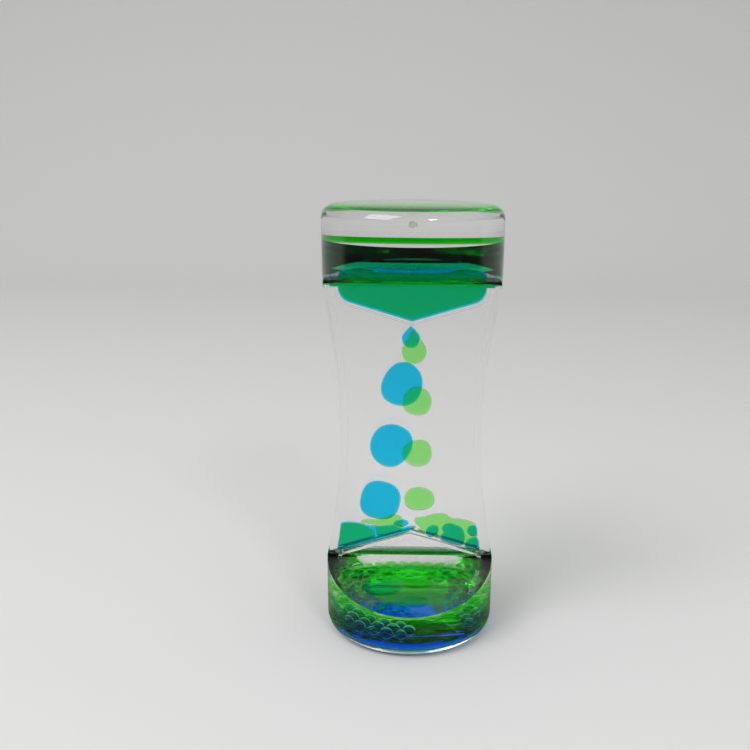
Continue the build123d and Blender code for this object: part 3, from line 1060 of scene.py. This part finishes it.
def swept_sheet(name, half, back, rise, bend):
    """A floor that turns up into a backdrop: straight, quarter round, straight."""
    t = np.linspace(0, pi / 2, SWEEP_STEPS)
    y = np.concatenate([[-half], back - bend + bend * np.sin(t), [back]])
    z = np.concatenate([[0.0], bend * (1 - np.cos(t)), [rise]]) - FLOOR_GAP
    x = np.array([-half, half])
    points = np.stack([np.repeat(x, len(y)), np.tile(y, 2), np.tile(z, 2)], axis=1)
    n = len(y)
    first = np.arange(n - 1)
    quads = np.stack([first, first + n, first + n + 1, first + 1], axis=1).tolist()
    mesh = bpy.data.meshes.new(name)
    mesh.from_pydata(points.tolist(), [], quads)
    mesh.shade_smooth()
    return add_object(name, mesh)


# %% [markdown]
# A clear thing shows its surroundings. A floor as pale as this one would be pale in every mirror
# reflection too, where the photograph is darker, so the floor in front is dark for those rays
# alone. Is Glossy Ray is also true for refracted rays, so Is Transmission Ray is taken off it.
# Otherwise the waist would turn grey.

# %% Finish of the floor
FLOOR_TINT = (0.66, 0.655, 0.64)
FLOOR_ROUGHNESS = 0.75
GLOSS_SHARE = 0.05  # of the tint, in mirror reflections
DARK_UNTIL, PALE_FROM = -0.05, 0.15  # metres along Y


def floor_finish(name):
    """Pale paint whose tint is mixed with its dark share by (glossy - transmitted) x nearness."""
    material = bpy.data.materials.new(name)
    material.use_nodes = True
    nodes = material.node_tree.nodes
    links = material.node_tree.links
    shader = shader_of(material)
    shader.inputs["Roughness"].default_value = FLOOR_ROUGHNESS
    kind = nodes.new("ShaderNodeLightPath")
    blend = nodes.new("ShaderNodeMix")
    blend.data_type = "RGBA"
    blend.inputs["A"].default_value = (*FLOOR_TINT, 1)
    blend.inputs["B"].default_value = (*(GLOSS_SHARE * part for part in FLOOR_TINT), 1)
    mirrored = nodes.new("ShaderNodeMath")
    mirrored.operation = "SUBTRACT"
    mirrored.use_clamp = True
    place = nodes.new("ShaderNodeTexCoord")
    axes = nodes.new("ShaderNodeSeparateXYZ")
    ahead = ramp(nodes, DARK_UNTIL, PALE_FROM, 1, 0)
    both = nodes.new("ShaderNodeMath")
    both.operation = "MULTIPLY"
    links.new(kind.outputs["Is Glossy Ray"], mirrored.inputs[0])
    links.new(kind.outputs["Is Transmission Ray"], mirrored.inputs[1])
    links.new(place.outputs["Object"], axes.inputs["Vector"])
    links.new(axes.outputs["Y"], ahead.inputs["Value"])
    links.new(mirrored.outputs["Value"], both.inputs[0])
    links.new(ahead.outputs["Result"], both.inputs[1])
    links.new(both.outputs["Value"], blend.inputs["Factor"])
    links.new(blend.outputs["Result"], shader.inputs["Base Color"])
    return material


# %% [markdown]
# The sheet reaches 3 m to the sides and to the front. Seen from behind, its far edge still shows as
# a horizon.

# %% Floor
floor = swept_sheet("pale_floor", half=3.0, back=1.2, rise=2.2, bend=0.5)
floor.data.materials.append(floor_finish("pale_floor"))
print("floor:", len(floor.data.polygons), "faces")

# %% [markdown]
# ## Light
# The light is plain and soft. The world is pale, and weaker towards the horizon than overhead, so
# that upright clear walls have something darker to show. The camera itself sees it at one even
# strength.

# %% World
SKY_TINT = (0.82, 0.83, 0.85, 1)
HORIZON_STRENGTH, OVERHEAD_STRENGTH = 0.42, 1.0
OVERHEAD_FROM = 0.7  # sine of the height above the horizon
SEEN_STRENGTH = 0.75

world = bpy.data.worlds.new("soft light")
bpy.context.scene.world = world
world.use_nodes = True
world_nodes = world.node_tree.nodes
world_links = world.node_tree.links
background = world_nodes["Background"]
background.inputs["Color"].default_value = SKY_TINT
direction = world_nodes.new("ShaderNodeTexCoord")
parts = world_nodes.new("ShaderNodeSeparateXYZ")
glow = ramp(world_nodes, 0, OVERHEAD_FROM, HORIZON_STRENGTH, OVERHEAD_STRENGTH)
glow.interpolation_type = "SMOOTHSTEP"
path = world_nodes.new("ShaderNodeLightPath")
choice = world_nodes.new("ShaderNodeMix")
choice.inputs["B"].default_value = SEEN_STRENGTH
world_links.new(direction.outputs["Generated"], parts.inputs["Vector"])
world_links.new(parts.outputs["Z"], glow.inputs["Value"])
world_links.new(glow.outputs["Result"], choice.inputs["A"])
world_links.new(path.outputs["Is Camera Ray"], choice.inputs["Factor"])
world_links.new(choice.outputs["Result"], background.inputs["Strength"])
print("world:", world.name)

# %% [markdown]
# One large square lamp stands to the upper left, and a small one leaves a highlight on the top
# face. Both are turned to the middle of the timer.

# %% Lamps
def lamp(name, place, target, size, power):
    """A square lamp at a place, turned to a target."""
    light = bpy.data.lights.new(name, "AREA")
    light.energy = power
    light.size = size
    piece = add_object(name, light)
    piece.location = place
    piece.rotation_euler = (Vector(target) - Vector(place)).to_track_quat("-Z", "Y").to_euler()


lamp_target = (0, 0, 0.06)
lamp("large soft lamp", (-0.55, -0.45, 0.9), lamp_target, size=0.6, power=6)
lamp("small lamp", (0.25, -0.5, 0.55), lamp_target, size=0.12, power=0.8)
print("lamps:", len(bpy.data.lights))

# %% [markdown]
# ## Camera
# The photograph was taken from a little above, so that the eye looks down on the top face. Place,
# pitch and focal length were worked out from the ellipses of the two ends. The timer stands off the
# middle of the frame. The shift that this takes stays when the object is seen from other sides, so
# the camera was fitted again with the optical axis nearer the middle, until the whole object was
# in view from the sides and the rear. That moved points on it by up to about three pixels here.
#
# Light crosses many surfaces here, so the paths are allowed more turns than Blender's default.

# %% Camera and view
PHOTO_SIDE = 750
FOCAL_PIXELS = 891
CENTER_COLUMN = 411
CENTER_ROW = 423
CAMERA_PLACE = (0, -0.2578, 0.1446)
CAMERA_PITCH = radians(17.08)
CAMERA_ROLL = radians(0.6)
SENSOR_WIDTH = 36
LIGHT_TURNS = 32

camera_data = bpy.data.cameras.new("camera")
camera_data.sensor_width = SENSOR_WIDTH
camera_data.lens = FOCAL_PIXELS / PHOTO_SIDE * SENSOR_WIDTH
camera_data.shift_x = (PHOTO_SIDE / 2 - CENTER_COLUMN) / PHOTO_SIDE
camera_data.shift_y = (CENTER_ROW - PHOTO_SIDE / 2) / PHOTO_SIDE
camera_data.clip_start = 0.01
camera = add_object("camera", camera_data)
camera.location = CAMERA_PLACE
turn = Matrix.Rotation(pi / 2 - CAMERA_PITCH, 3, "X") @ Matrix.Rotation(CAMERA_ROLL, 3, "Z")
camera.rotation_euler = turn.to_euler()

scene = bpy.context.scene
scene.camera = camera
scene.view_settings.view_transform = "Standard"
scene.cycles.max_bounces = LIGHT_TURNS
scene.cycles.transmission_bounces = LIGHT_TURNS
scene.cycles.transparent_max_bounces = LIGHT_TURNS
print("shift:", round(camera_data.shift_x, 3), round(camera_data.shift_y, 3))
